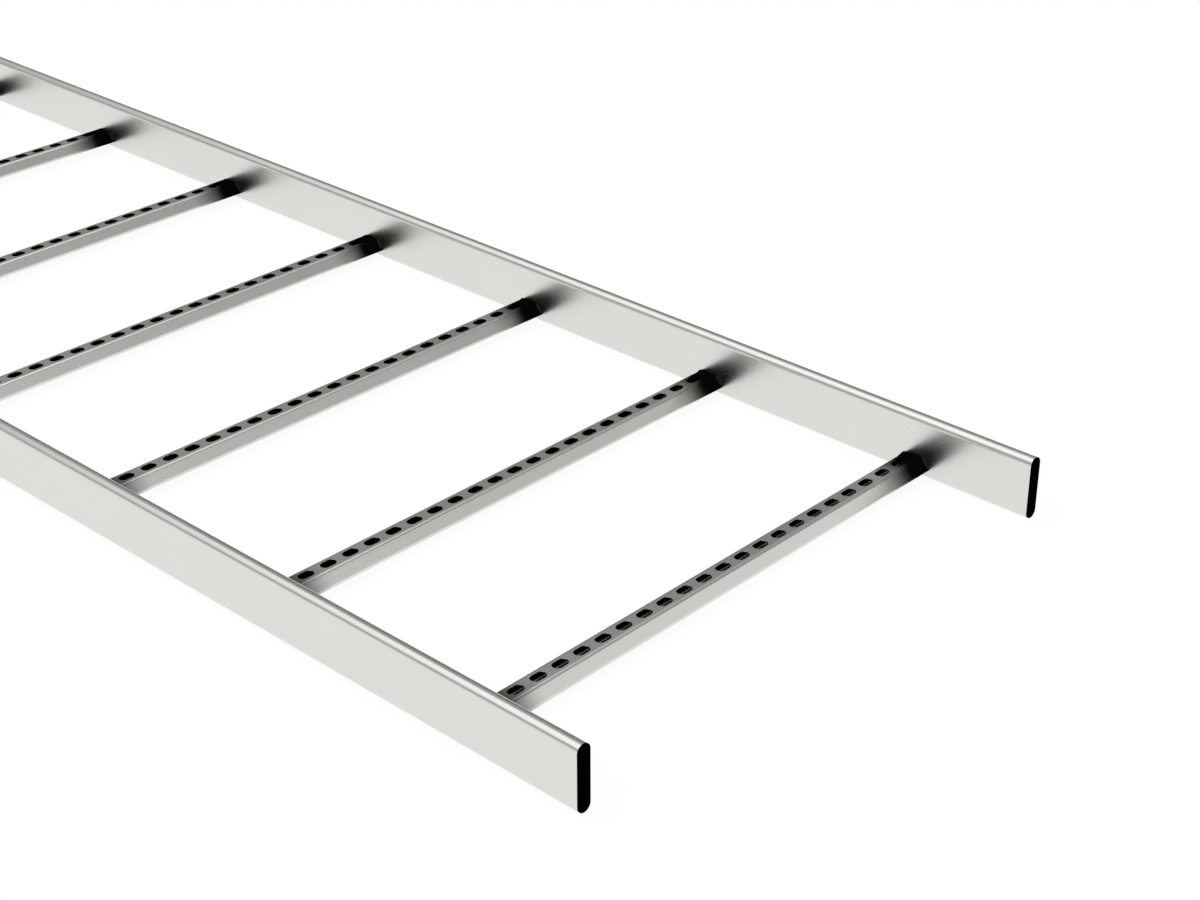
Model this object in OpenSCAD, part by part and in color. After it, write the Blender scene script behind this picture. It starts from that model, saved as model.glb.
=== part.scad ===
// Cable ladder section: two flat-oval side rails joined by slotted channel rungs.
// Frame: X runs along the ladder, Y across it, Z up. The origin is under the
// middle of the ladder, at the lowest line of the rails.

/* [Ladder] */
// Cut length of the side rails
ladder_length = 3000; // [500:250:6000]
// Overall width, over the outer faces of both rails
ladder_width = 600; // [200:50:1000]

/* [Side rails] */
// Height of the flat-oval rail
rail_height = 61.5; // [50:0.5:80]
// Thickness of the flat-oval rail, also the diameter of its round edges
rail_thickness = 13.5; // [11:0.5:20]
// Wall of the rail tube
rail_wall = 1.5; // [1:0.1:2.5]

/* [Rungs] */
// Distance from one rung to the next
rung_pitch = 250; // [150:50:300]
// Overall width of the rung channel at its foot, along the ladder
rung_width = 34.4; // [30:0.2:40]
// Width of the flat strip on top of the rung, between its two upper folds
rung_flat = 13; // [11:0.5:16]
// Height of the rung channel
rung_height = 13.2; // [11:0.1:18]
// Sheet thickness of the rung
rung_sheet = 1.5; // [1:0.1:2]
// Outer radius of the two upper folds
rung_fold = 4.5; // [3:0.1:5]
// Outer radius of the two lower folds, where the lips turn in
rung_foot_fold = 2.2; // [2.1:0.1:3]
// Gap between the two lips on the open side of the channel
rung_mouth = 12; // [8:0.5:16]
// Height of the rung's underside above the rail's lowest line
rung_lift = 8.3; // [7:0.1:20]

/* [Rung slots] */
// End-to-end length of a slot, across the ladder
slot_length = 16; // [10:0.5:18]
// Width of a slot, which is the diameter of its round ends
slot_width = 10; // [6:0.5:10.5]
// Distance between slot centres along a rung
slot_pitch = 25; // [20:1:40]
// Least metal between the last slot and the rail
slot_margin = 10; // [8:1:40]

/* [End caps] */
// Thickness of the cap's face plate, which closes the end of the rail
cap_face = 1; // [0.8:0.1:3]
// Depth of the cap's plug inside the rail
cap_depth = 12; // [6:1:25]
// Wall of the hollow plug
cap_wall = 1.2; // [0.8:0.1:2]
// Clearance between the plug and the inside of the rail, on each side
cap_clearance = 0.15; // [0.1:0.05:0.4]

/* [Hidden] */
$fn = 64;
// Overlap that lets a cut run past the face that it opens
cut = 1;
rung_count = floor(ladder_length / rung_pitch);
rung_length = ladder_width - 2 * rail_thickness;
rail_offset = (ladder_width - rail_thickness) / 2;
// Centres of an upper and a lower fold, from the middle of the underside
upper_fold = [rung_flat / 2, rung_height - rung_fold];
lower_fold = [rung_width / 2 - rung_foot_fold, rung_foot_fold];
// Each side of the channel touches both of its folds. This is how far its face points up.
side_run = lower_fold.x - upper_fold.x;
side_drop = upper_fold.y - lower_fold.y;
side_tilt = acos((rung_fold - rung_foot_fold) / norm([side_run, side_drop])) - atan2(side_drop, side_run);
slot_count = 2 * floor((rung_length - 2 * slot_margin - slot_length + slot_pitch) / (2 * slot_pitch));

// Two digits keep the rungs in order in a list of names
function rung_name(i) = str("rung_", i < 10 ? "0" : "", i);
RAIL_SIDES = ["left", "right"];
RAIL_ENDS = ["front", "back"];

// Flat oval: straight sides closed by half circles, centred on the origin
module flat_oval(thickness, height) {
    square([thickness, height - thickness], center = true);
    for (side = [-1, 1])
        translate([0, side * (height - thickness) / 2])
            circle(d = thickness);
}

// Turns a profile drawn in X and Y so that it stands in Y and Z and runs along X
module along_x(length) {
    rotate([90, 0, 90])
        linear_extrude(length)
            children();
}

// Turns a profile drawn in X and Y so that it stands in X and Z and runs along Y
module along_y(length) {
    translate([0, length / 2, 0])
        rotate([90, 0, 0])
            linear_extrude(length)
                children();
}

// side is 1 for the left rail and -1 for the right one
module side_rail(side) {
    color([0.80, 0.80, 0.77])
        translate([-ladder_length / 2, side * rail_offset, rail_height / 2])
            along_x(ladder_length)
                difference() {
                    flat_oval(rail_thickness, rail_height);
                    flat_oval(rail_thickness - 2 * rail_wall, rail_height - 2 * rail_wall);
                }
}

// Outline of the channel, moved in from the rung's outer faces by inset, with its underside on Y = 0
module rung_outline(inset) {
    upper = rung_fold - inset;
    lower = rung_foot_fold - inset;
    facing = [cos(side_tilt), sin(side_tilt)];
    right = [
        lower_fold - [0, lower],
        lower_fold + lower * facing,
        upper_fold + upper * facing,
        upper_fold + [0, upper]
    ];
    polygon(concat(right, [for (k = [len(right) - 1 : -1 : 0]) [-right[k].x, right[k].y]]));
    for (side = [-1, 1]) {
        translate([side * upper_fold.x, upper_fold.y])
            circle(r = upper);
        translate([side * lower_fold.x, lower_fold.y])
            circle(r = lower);
    }
}

// Folded channel with leaning sides, its open side down and its two edges turned in
module rung_profile() {
    difference() {
        rung_outline(0);
        rung_outline(rung_sheet);
        translate([-rung_mouth / 2, -cut])
            square([rung_mouth, rung_sheet + 2 * cut]);
    }
}

// Slot with round ends, which runs along Y
module slot_outline() {
    square([slot_width, slot_length - slot_width], center = true);
    for (end = [-1, 1])
        translate([0, end * (slot_length - slot_width) / 2])
            circle(d = slot_width);
}

// i counts the rungs from the back end of the ladder
module rung(i) {
    color([0.66, 0.66, 0.64])
        translate([(i - (rung_count + 1) / 2) * rung_pitch, 0, rung_lift])
            difference() {
                along_y(rung_length)
                    rung_profile();
                for (k = [1 : slot_count])
                    translate([0, (k - (slot_count + 1) / 2) * slot_pitch, rung_height - rung_sheet - cut])
                        linear_extrude(rung_sheet + 2 * cut)
                            slot_outline();
            }
}

// Face plate with the outline of the rail, and a hollow plug that goes into the tube.
// end is 1 for the front of the ladder and -1 for its back.
module end_cap(side, end) {
    plug_thickness = rail_thickness - 2 * rail_wall - 2 * cap_clearance;
    plug_height = rail_height - 2 * rail_wall - 2 * cap_clearance;
    color([0.06, 0.06, 0.06])
        translate([end * ladder_length / 2, side * rail_offset, rail_height / 2])
            mirror([end < 0 ? 1 : 0, 0, 0]) {
                along_x(cap_face)
                    flat_oval(rail_thickness, rail_height);
                translate([-cap_depth, 0, 0])
                    difference() {
                        along_x(cap_depth)
                            flat_oval(plug_thickness, plug_height);
                        translate([-cut, 0, 0])
                            along_x(cap_depth + cut - cap_wall)
                                flat_oval(plug_thickness - 2 * cap_wall, plug_height - 2 * cap_wall);
                    }
            }
}

side_rail(1);  // side_rail_left
side_rail(-1);  // side_rail_right
for (i = [1 : rung_count])
    rung(i);
end_cap(1, 1);  // end_cap_left_front
end_cap(1, -1);  // end_cap_left_back
end_cap(-1, 1);  // end_cap_right_front
end_cap(-1, -1);  // end_cap_right_back
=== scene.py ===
import logging
import math
from dataclasses import dataclass, field
from enum import Enum

import bpy
from mathutils import Matrix, Vector

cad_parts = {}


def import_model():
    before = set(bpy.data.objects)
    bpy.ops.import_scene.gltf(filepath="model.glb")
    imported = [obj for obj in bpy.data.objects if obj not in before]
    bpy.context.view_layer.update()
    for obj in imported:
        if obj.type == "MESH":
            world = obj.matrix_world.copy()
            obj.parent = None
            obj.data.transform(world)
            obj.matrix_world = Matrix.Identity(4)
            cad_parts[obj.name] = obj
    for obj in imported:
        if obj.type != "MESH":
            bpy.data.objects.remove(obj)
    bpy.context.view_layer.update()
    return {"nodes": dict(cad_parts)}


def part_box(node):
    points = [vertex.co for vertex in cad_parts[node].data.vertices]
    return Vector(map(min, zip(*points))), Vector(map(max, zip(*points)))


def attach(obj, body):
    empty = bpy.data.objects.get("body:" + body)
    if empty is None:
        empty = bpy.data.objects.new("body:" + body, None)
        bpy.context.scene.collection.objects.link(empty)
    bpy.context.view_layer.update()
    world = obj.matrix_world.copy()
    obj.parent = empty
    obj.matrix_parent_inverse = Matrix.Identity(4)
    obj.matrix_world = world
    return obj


LOG = logging.getLogger("cable_ladder")
MM = 0.001
ROOT_BODY = "root"

Point = tuple[float, float, float]
Colour = tuple[float, float, float, float]


class Side(Enum):
    """The two side rails; the value is the sign of Y."""

    LEFT = 1
    RIGHT = -1

    @property
    def word(self) -> str:
        """The side's word in node and piece names."""
        return self.name.lower()


class Run(Enum):
    """The axis along which a piece was rolled; the value is its number."""

    ALONG_X = 0
    ALONG_Y = 1


class Link:
    """A node's output socket that takes part in expressions.

    Numbers stay plain Python numbers until they meet a Link, and every operator
    adds one Math node.
    """

    def __init__(self, graph: "Graph", socket: bpy.types.NodeSocket) -> None:
        """Keeps the socket and the graph that it belongs to."""
        self.graph = graph
        self.socket = socket

    def _math(self, operation: str, *values: "Link | float") -> "Link":
        """Adds a Math node.

        Args:
            operation: the node's operation.
            *values: its inputs in order.

        Returns:
            The node's result.
        """
        return self.graph.node("ShaderNodeMath", {"operation": operation}, dict(enumerate(values)))

    def __add__(self, other: "Link | float") -> "Link":
        """self + other."""
        return self._math("ADD", self, other)

    def __radd__(self, other: float) -> "Link":
        """other + self."""
        return self._math("ADD", other, self)

    def __sub__(self, other: "Link | float") -> "Link":
        """self - other."""
        return self._math("SUBTRACT", self, other)

    def __rsub__(self, other: float) -> "Link":
        """other - self."""
        return self._math("SUBTRACT", other, self)

    def __mul__(self, other: "Link | float") -> "Link":
        """self * other."""
        return self._math("MULTIPLY", self, other)

    def __rmul__(self, other: float) -> "Link":
        """other * self."""
        return self._math("MULTIPLY", other, self)

    def magnitude(self) -> "Link":
        """The value without its sign."""
        return self._math("ABSOLUTE", self)

    def least(self, other: "Link | float") -> "Link":
        """The smaller of the two."""
        return self._math("MINIMUM", self, other)

    def most(self, other: "Link | float") -> "Link":
        """The larger of the two."""
        return self._math("MAXIMUM", self, other)

    def remainder(self, step: float) -> "Link":
        """The value wrapped into 0 to step."""
        return self._math("FLOORED_MODULO", self, step)

    def rise(self, start: float, end: float) -> "Link":
        """A smooth step.

        Args:
            start: the value at which the step is 0.
            end: the value at which it is 1; it may be below start.

        Returns:
            0 to 1.
        """
        sockets = {"Value": self, "From Min": start, "From Max": end}
        return self.graph.node("ShaderNodeMapRange", {"interpolation_type": "SMOOTHSTEP"}, sockets)


class Graph:
    """The nodes of one material or world."""

    def __init__(self, tree: bpy.types.NodeTree) -> None:
        """Empties the tree."""
        self.tree = tree
        tree.nodes.clear()

    def node(self, kind: str, settings: dict[str, object] | None = None,
             sockets: dict[str | int, object] | None = None, output: str | int = 0) -> Link | None:
        """Adds any node.

        Args:
            kind: the node's type.
            settings: its properties, set first.
            sockets: its inputs by name or number, as values or Links.
            output: the output that is returned.

        Returns:
            The chosen output, or None from a node that ends the graph.
        """
        made = self.tree.nodes.new(kind)
        for name, value in (settings or {}).items():
            setattr(made, name, value)
        for name, value in (sockets or {}).items():
            if isinstance(value, Link):
                self.tree.links.new(value.socket, made.inputs[name])
            else:
                made.inputs[name].default_value = value
        return Link(self, made.outputs[output]) if made.outputs else None

    def place(self) -> Link:
        """The Object coordinates, in metres."""
        return self.node("ShaderNodeTexCoord", output="Object")

    def axes(self, vector: Link) -> tuple[Link, Link, Link]:
        """The three parts of a vector."""
        first = self.node("ShaderNodeSeparateXYZ", sockets={0: vector})
        outputs = first.socket.node.outputs
        return first, Link(self, outputs[1]), Link(self, outputs[2])

    def noise(self, vector: Link, scale: float, stretch: Point = (1.0, 1.0, 1.0), detail: float = 2.0) -> Link:
        """Noise on a stretched copy of the coordinates.

        Args:
            vector: the coordinates.
            scale: features per metre.
            stretch: factor on each axis; a small one draws the features out.
            detail: number of finer layers.

        Returns:
            The noise, about 0 to 1.
        """
        mapped = self.node("ShaderNodeMapping", sockets={"Vector": vector, "Scale": stretch})
        return self.node("ShaderNodeTexNoise", sockets={"Vector": mapped, "Scale": scale, "Detail": detail})

    def blend(self, factor: "Link | float", low: "Link | Colour", high: "Link | Colour") -> Link:
        """Mixes two colours.

        Args:
            factor: 0 gives low and 1 gives high.
            low: the first colour.
            high: the second colour.

        Returns:
            The mixed colour.
        """
        sockets = {"Factor": factor, 6: low, 7: high}
        return self.node("ShaderNodeMix", {"data_type": "RGBA"}, sockets, output=2)

    def bump(self, height: Link, depth: float) -> Link:
        """A normal from a height.

        Args:
            height: the height, 0 to 1.
            depth: what 1 stands for, in metres.

        Returns:
            The normal.
        """
        return self.node("ShaderNodeBump", sockets={"Height": height, "Distance": depth, "Strength": 1.0})


def grey(level: float, warmth: float = 0.0) -> Colour:
    """A grey colour, warmer by taking blue away."""
    return (level, level, level - warmth, 1.0)


def new_material(name: str) -> tuple[bpy.types.Material, Graph]:
    """Makes an empty node material.

    Args:
        name: the material's name.

    Returns:
        The material and its graph.
    """
    material = bpy.data.materials.new(name)
    material.use_nodes = True
    return material, Graph(material.node_tree)


@dataclass(frozen=True)
class RungSection:
    """The folded section of a rung, from the same sizes as its solid."""

    lift: float = 8.3 * MM
    height: float = 13.2 * MM
    width: float = 34.4 * MM
    flat: float = 13.0 * MM
    upper_radius: float = 4.5 * MM
    lower_radius: float = 2.2 * MM
    sheet: float = 1.5 * MM
    pitch: float = 250.0 * MM
    length: float = 573.0 * MM

    @property
    def upper(self) -> tuple[float, float]:
        """Centre of the upper fold, across and above the underside."""
        return self.flat / 2, self.height - self.upper_radius

    @property
    def lower(self) -> tuple[float, float]:
        """Centre of the lower fold, across and above the underside."""
        return self.width / 2 - self.lower_radius, self.lower_radius

    @property
    def tilt(self) -> float:
        """How far the side face points up, in radians."""
        run = self.lower[0] - self.upper[0]
        drop = self.upper[1] - self.lower[1]
        return math.acos((self.upper_radius - self.lower_radius) / math.hypot(run, drop)) - math.atan2(drop, run)

    @property
    def reach(self) -> float:
        """Distance of the side face's plane from the middle of the underside."""
        return self.upper[0] * math.cos(self.tilt) + self.upper[1] * math.sin(self.tilt) + self.upper_radius


class RungMasks:
    """Masks over a rung's faces, from Object coordinates and the rung's section.

    The rungs repeat along X at the pitch, so one set of masks serves them all.
    """

    def __init__(self, graph: Graph, place: Link, section: RungSection) -> None:
        """Works out where a point lies on its rung.

        Args:
            graph: the material's graph.
            place: the Object coordinates.
            section: the rung's section.
        """
        x, y, z = graph.axes(place)
        self.section = section
        self.across = (x.remainder(section.pitch) - section.pitch / 2).magnitude()
        self.above = z - section.lift
        self.from_rail = section.length / 2 - y.magnitude()

    def ends(self) -> Link:
        """Painted shade towards the rails: 1 at both rails and 0 from 70 mm off them."""
        return self.from_rail.rise(70 * MM, 22 * MM)

    def matt_and_painted_shade(self) -> Link:
        """1 on the faces inside the channel, on the slots' cut edges and at the rails; these get painted
        near-black shade and a matt finish.
        """
        section = self.section
        side = section.reach - self.across * math.cos(section.tilt) - self.above * math.sin(section.tilt)
        below_top = section.height - self.above
        depth = side.least(self.above).least(below_top)
        inner = depth.rise(section.sheet - 0.16 * MM, section.sheet - 0.02 * MM)
        slots = below_top.rise(0.1 * MM, 0.5 * MM) * self.across.rise(6.0 * MM, 5.6 * MM)
        return inner.most(slots).most(self.from_rail.rise(26 * MM, 16 * MM))

    def painted_highlight_band(self) -> Link:
        """1 on a narrow band along each turned-in edge, inside the channel, where a light grey highlight is
        painted.
        """
        low = self.above.rise(3.0 * MM, 2.0 * MM)
        return (self.across - 9.8 * MM).magnitude().rise(1.3 * MM, 0.4 * MM) * low


@dataclass(frozen=True)
class ZincFinish:
    """Satin zinc-coated steel with faint rolling marks and clouds."""

    name: str
    run: Run
    level: float = 0.74
    level_spread: float = 0.025
    warmth: float = 0.028
    roughness: float = 0.27
    grain_depth: float = 0.0003 * MM
    section: RungSection | None = None

    def material(self) -> bpy.types.Material:
        """Builds the finish.

        Returns:
            The material.
        """
        material, graph = new_material(self.name)
        place = graph.place()
        stretch = [1.0, 1.0, 1.0]
        stretch[self.run.value] = 0.012
        grain = graph.noise(place, 900.0, tuple(stretch), 3.0)
        clouds = graph.noise(place, 14.0, detail=4.0)
        dark, light = self.level - self.level_spread, self.level + self.level_spread
        colour = graph.blend(clouds * 0.7 + grain * 0.3, grey(dark, self.warmth), grey(light, self.warmth))
        roughness = self.roughness + (clouds - 0.5) * 0.04 + (grain - 0.5) * 0.015
        metallic: Link | float = 1.0
        if self.section is not None:
            masks = RungMasks(graph, place, self.section)
            # Painted shade: the channel's inside, the slots' cut edges and the rung next to each rail go near
            # black and matt.
            matt_and_painted_shade = masks.matt_and_painted_shade()
            # Painted shade: the rung darkens to near black over its last 70 mm at each rail.
            colour = graph.blend(masks.ends(), colour, grey(0.003))
            # Painted highlight: a light grey band along each turned-in edge inside the painted-dark channel.
            colour = graph.blend(matt_and_painted_shade, colour, graph.blend(masks.painted_highlight_band(), grey(0.002), grey(0.85)))
            roughness = roughness + matt_and_painted_shade * 0.4
            metallic = 1.0 - matt_and_painted_shade
        graph.node("ShaderNodeOutputMaterial", sockets={0: graph.node(
            "ShaderNodeBsdfPrincipled",
            sockets={
                "Base Color": colour,
                "Roughness": roughness,
                "Metallic": metallic,
                "Specular IOR Level": 0.0,
                "Normal": graph.bump(grain, self.grain_depth),
            },
        )})
        return material


@dataclass(frozen=True)
class WeldFinish:
    """Weld metal, painted nearly black as shade at the joints, and rougher than the sheet."""

    name: str = "weld_painted_shade"
    # Near-black painted shade at the joints.
    level: float = 0.012

    def material(self) -> bpy.types.Material:
        """Builds the finish.

        Returns:
            The material.
        """
        material, graph = new_material(self.name)
        place = graph.place()
        grit = graph.noise(place, 1500.0, detail=3.0)
        patches = graph.noise(place, 260.0)
        colour = graph.blend(patches, grey(self.level * 0.6), grey(self.level * 1.6))
        graph.node("ShaderNodeOutputMaterial", sockets={0: graph.node(
            "ShaderNodeBsdfPrincipled",
            sockets={
                "Base Color": colour,
                "Roughness": 0.5 + (grit - 0.5) * 0.2,
                "Specular IOR Level": 0.06,
                "Normal": graph.bump(grit, 0.05 * MM),
            },
        )})
        return material


@dataclass(frozen=True)
class CapFinish:
    """Black moulded plastic with a fine matt grain."""

    name: str = "cap_black"

    def material(self) -> bpy.types.Material:
        """Builds the finish.

        Returns:
            The material.
        """
        material, graph = new_material(self.name)
        place = graph.place()
        grain = graph.noise(place, 2600.0)
        scuffs = graph.noise(place, 90.0, detail=4.0)
        graph.node("ShaderNodeOutputMaterial", sockets={0: graph.node(
            "ShaderNodeBsdfPrincipled",
            sockets={
                "Base Color": graph.blend(scuffs.rise(0.45, 0.75), grey(0.0004), grey(0.001)),
                "Roughness": 0.55 + (grain - 0.5) * 0.15,
                "Specular IOR Level": 0.0,
                "Normal": graph.bump(grain, 0.03 * MM),
            },
        )})
        return material


def dress(node: bpy.types.Object, material: bpy.types.Material) -> None:
    """Gives every material slot of a CAD node the same finish.

    Args:
        node: the CAD node's object.
        material: the finish.
    """
    if not node.material_slots:
        node.data.materials.append(material)
    for slot in node.material_slots:
        slot.material = material


@dataclass
class SideRails:
    """The two flat-oval tubes."""

    nodes: dict[str, bpy.types.Object]

    def build(self) -> None:
        """Dresses both rails."""
        material = ZincFinish("rail_zinc", Run.ALONG_X).material()
        for side in Side:
            name = f"side_rail_{side.word}"
            dress(self.nodes[name], material)
            LOG.info("%s: dressed in satin zinc", name)

    @staticmethod
    def inner_face(side: Side) -> float:
        """Y of the face that the rungs meet."""
        low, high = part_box(f"side_rail_{side.word}")
        return low[1] if side is Side.LEFT else high[1]


@dataclass
class Rungs:
    """The folded and slotted channels."""

    nodes: dict[str, bpy.types.Object]
    section: RungSection = field(default_factory=RungSection)

    @property
    def names(self) -> list[str]:
        """The rungs' node names, from the back end to the front."""
        return sorted(name for name in self.nodes if name.startswith("rung_"))

    def build(self) -> None:
        """Dresses every rung."""
        # The rungs' finish carries painted shade at the rails and inside the channel, and a painted highlight
        # along the turned-in edges.
        material = ZincFinish("rung_zinc_painted_shade", Run.ALONG_Y, section=self.section).material()
        for name in self.names:
            dress(self.nodes[name], material)
            LOG.info("%s: dressed in satin zinc", name)

    @staticmethod
    def centre(name: str) -> float:
        """X of a rung's middle."""
        low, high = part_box(name)
        return (low[0] + high[0]) / 2


@dataclass
class EndCaps:
    """The four plastic caps that close the rails."""

    nodes: dict[str, bpy.types.Object]

    def build(self) -> None:
        """Dresses every cap."""
        material = CapFinish().material()
        for name in sorted(self.nodes):
            if name.startswith("end_cap_"):
                dress(self.nodes[name], material)
                LOG.info("%s: dressed in black plastic", name)


@dataclass
class Welds:
    """The bead down each leaning side of a rung, where it meets a rail."""

    rungs: Rungs
    radius: float = 1.7 * MM
    step: float = 1.1 * MM
    ring_points: int = 8

    def build(self) -> None:
        """Makes one joint's beads and copies them to every joint."""
        material = WeldFinish().material()
        first = self.rungs.names[-1]
        pattern = self._joint(Rungs.centre(first), SideRails.inner_face(Side.LEFT))
        pattern.data.materials.append(material)
        for name in self.rungs.names:
            for side in Side:
                piece = pattern.copy()
                piece.data = pattern.data.copy()
                piece.name = piece.data.name = f"weld_{name}_{side.word}"
                bpy.context.collection.objects.link(piece)
                shift = Rungs.centre(name) - Rungs.centre(first)
                piece.data.transform(Matrix.Translation((shift, 0, 0)) @ Matrix.Diagonal((1, side.value, 1, 1)))
                if side is Side.RIGHT:
                    piece.data.flip_normals()
                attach(piece, ROOT_BODY)
            LOG.info("%s: beads at both rails", name)
        bpy.data.objects.remove(pattern)

    def _joint(self, centre: float, face: float) -> bpy.types.Object:
        """Makes the two beads of one joint as one object.

        Args:
            centre: X of the rung's middle.
            face: Y of the left rail's inner face.

        Returns:
            The object, at the origin.
        """
        beads = [self._bead(centre, face, sign) for sign in (1, -1)]
        bpy.ops.object.select_all(action="DESELECT")
        for bead in beads:
            bead.select_set(True)
        bpy.context.view_layer.objects.active = beads[0]
        bpy.ops.object.join()
        bpy.ops.object.shade_smooth()
        return beads[0]

    def _bead(self, centre: float, face: float, sign: int) -> bpy.types.Object:
        """Draws one rippled bead up a leaning side.

        Args:
            centre: X of the rung's middle.
            face: Y of the left rail's inner face.
            sign: 1 for the side towards the front of the ladder and -1 for the other.

        Returns:
            The bead as its own object.
        """
        section = self.rungs.section
        outward = Vector((sign * math.cos(section.tilt), 0, math.sin(section.tilt)))
        along = Vector((-sign * math.sin(section.tilt), 0, math.cos(section.tilt)))
        foot = Vector((centre + sign * section.lower[0], face, section.lift + section.lower[1]))
        run = math.dist(section.upper, section.lower)
        start = foot + outward * (section.lower_radius + 0.1 * MM) + Vector((0, -0.1 * MM, 0))
        bpy.ops.object.select_all(action="DESELECT")
        bpy.ops.mesh.primitive_circle_add(
            vertices=self.ring_points, radius=self.radius * 0.5, fill_type="NGON",
            location=start, rotation=along.to_track_quat("Z", "Y").to_euler())
        bpy.ops.object.transform_apply(location=True, rotation=True, scale=True)
        bead = bpy.context.active_object
        bpy.ops.object.mode_set(mode="EDIT")
        bpy.ops.mesh.select_all(action="SELECT")
        place = start.copy()
        size = 0.5
        steps = max(2, round(run / self.step))
        for k in range(1, steps + 1):
            move = along * (run / steps)
            place += move
            target = 0.5 if k == steps else (1.0, 0.86)[k % 2]
            bpy.ops.mesh.extrude_region_move(TRANSFORM_OT_translate={"value": move})
            grow = target / size
            bpy.ops.transform.resize(value=(grow, grow, grow), center_override=place)
            size = target
        bpy.ops.mesh.select_all(action="SELECT")
        bpy.ops.mesh.normals_make_consistent(inside=False)
        bpy.ops.object.mode_set(mode="OBJECT")
        smooth = bead.modifiers.new("round", "SUBSURF")
        smooth.levels = smooth.render_levels = 1
        bpy.ops.object.modifier_apply(modifier=smooth.name)
        return bead


@dataclass
class Studio:
    """Floor, world and camera."""

    camera_place: Point = (2.4168, -1.2606, 1.0278)
    camera_pitch: float = 90.0 - 28.566
    camera_turn: float = 42.922
    lens: float = 67.83
    camera_shift: tuple[float, float] = (-0.0005, 0.0006)
    floor_half: float = 150.0
    floor_drop: float = 0.2 * MM

    def build(self) -> None:
        """Sets up the floor, the light and the camera."""
        self._floor()
        self._world()
        self._camera()
        bpy.context.scene.view_settings.view_transform = "Standard"

    def _floor(self) -> None:
        """Lays a plain floor that looks white and keeps a soft shadow."""
        bpy.ops.object.select_all(action="DESELECT")
        bpy.ops.mesh.primitive_plane_add(size=2 * self.floor_half, location=(0, 0, -self.floor_drop))
        floor = bpy.context.active_object
        floor.name = "floor"
        material, graph = new_material("floor_white")
        camera_ray = graph.node("ShaderNodeLightPath")
        rays = camera_ray.socket.node.outputs
        seen = camera_ray.most(Link(graph, rays["Is Glossy Ray"])).most(Link(graph, rays["Is Transmission Ray"]))
        paper = graph.node("ShaderNodeBsdfDiffuse", sockets={"Color": grey(0.95)})
        glow = graph.node("ShaderNodeEmission", sockets={"Color": grey(1.0), "Strength": 1.02})
        mixed = graph.node("ShaderNodeMixShader", sockets={0: seen * 0.9, 1: paper, 2: glow})
        graph.node("ShaderNodeOutputMaterial", sockets={0: mixed})
        floor.data.materials.append(material)

    @staticmethod
    def _world() -> None:
        """Lights the ladder from a soft overhead strip, a side panel and a darker room."""
        world = bpy.data.worlds.new("studio")
        world.use_nodes = True
        bpy.context.scene.world = world
        graph = Graph(world.node_tree)
        direction = graph.node("ShaderNodeTexCoord", output="Generated")
        x, y, z = graph.axes(direction)
        # The overhead strip runs along the ladder, leans towards the right rail and fades to the back.
        strip = (z * 0.17 - y).rise(-0.17, 0.10) * (z * 0.84 + y * 0.545).rise(-0.10, 0.12) * x.rise(-0.92, -0.6)
        crown = z.rise(0.76, 0.86) * x.magnitude().rise(0.45, 0.2)
        # The side panel lies beyond the front left corner and dims where it is high or turned to the left.
        beside = (x * 0.7 + y * 0.7).rise(0.45, 0.65)
        turned = (y - x + z * 0.33).rise(0.265, 0.10)
        panel = beside * z.rise(0.52, 0.46).most(0.04 + turned * 0.8) * 0.94
        # The room is darkest to the back left and a little lighter on the right.
        ahead = ((1.035 - y + x * 0.7) * 4.0).least(0.13).most(-0.06) * x.rise(0.0, -0.3)
        behind = (0.0 - y).rise(0.35, 0.6)
        room = 0.245 + ahead + behind * 0.09
        horizon = z.rise(0.05, -0.01)
        level = room.most(panel).most(strip.most(crown) * 1.3).most(horizon)
        glow = graph.node("ShaderNodeBackground", sockets={"Color": grey(1.0), "Strength": level})
        graph.node("ShaderNodeOutputWorld", sockets={0: glow})

    def _camera(self) -> None:
        """Places the camera."""
        data = bpy.data.cameras.new("camera")
        data.lens = self.lens
        data.shift_x, data.shift_y = self.camera_shift
        camera = bpy.data.objects.new("camera", data)
        camera.location = self.camera_place
        camera.rotation_euler = (math.radians(self.camera_pitch), 0, math.radians(self.camera_turn))
        bpy.context.collection.objects.link(camera)
        bpy.context.scene.camera = camera


def main() -> None:
    """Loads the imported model, dresses it and adds what is welded on."""
    logging.basicConfig(level=logging.INFO, format="%(message)s")
    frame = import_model()
    nodes = frame["nodes"]
    Studio().build()
    rungs = Rungs(nodes)
    SideRails(nodes).build()
    rungs.build()
    EndCaps(nodes).build()
    Welds(rungs).build()


if __name__ == "__main__":
    main()
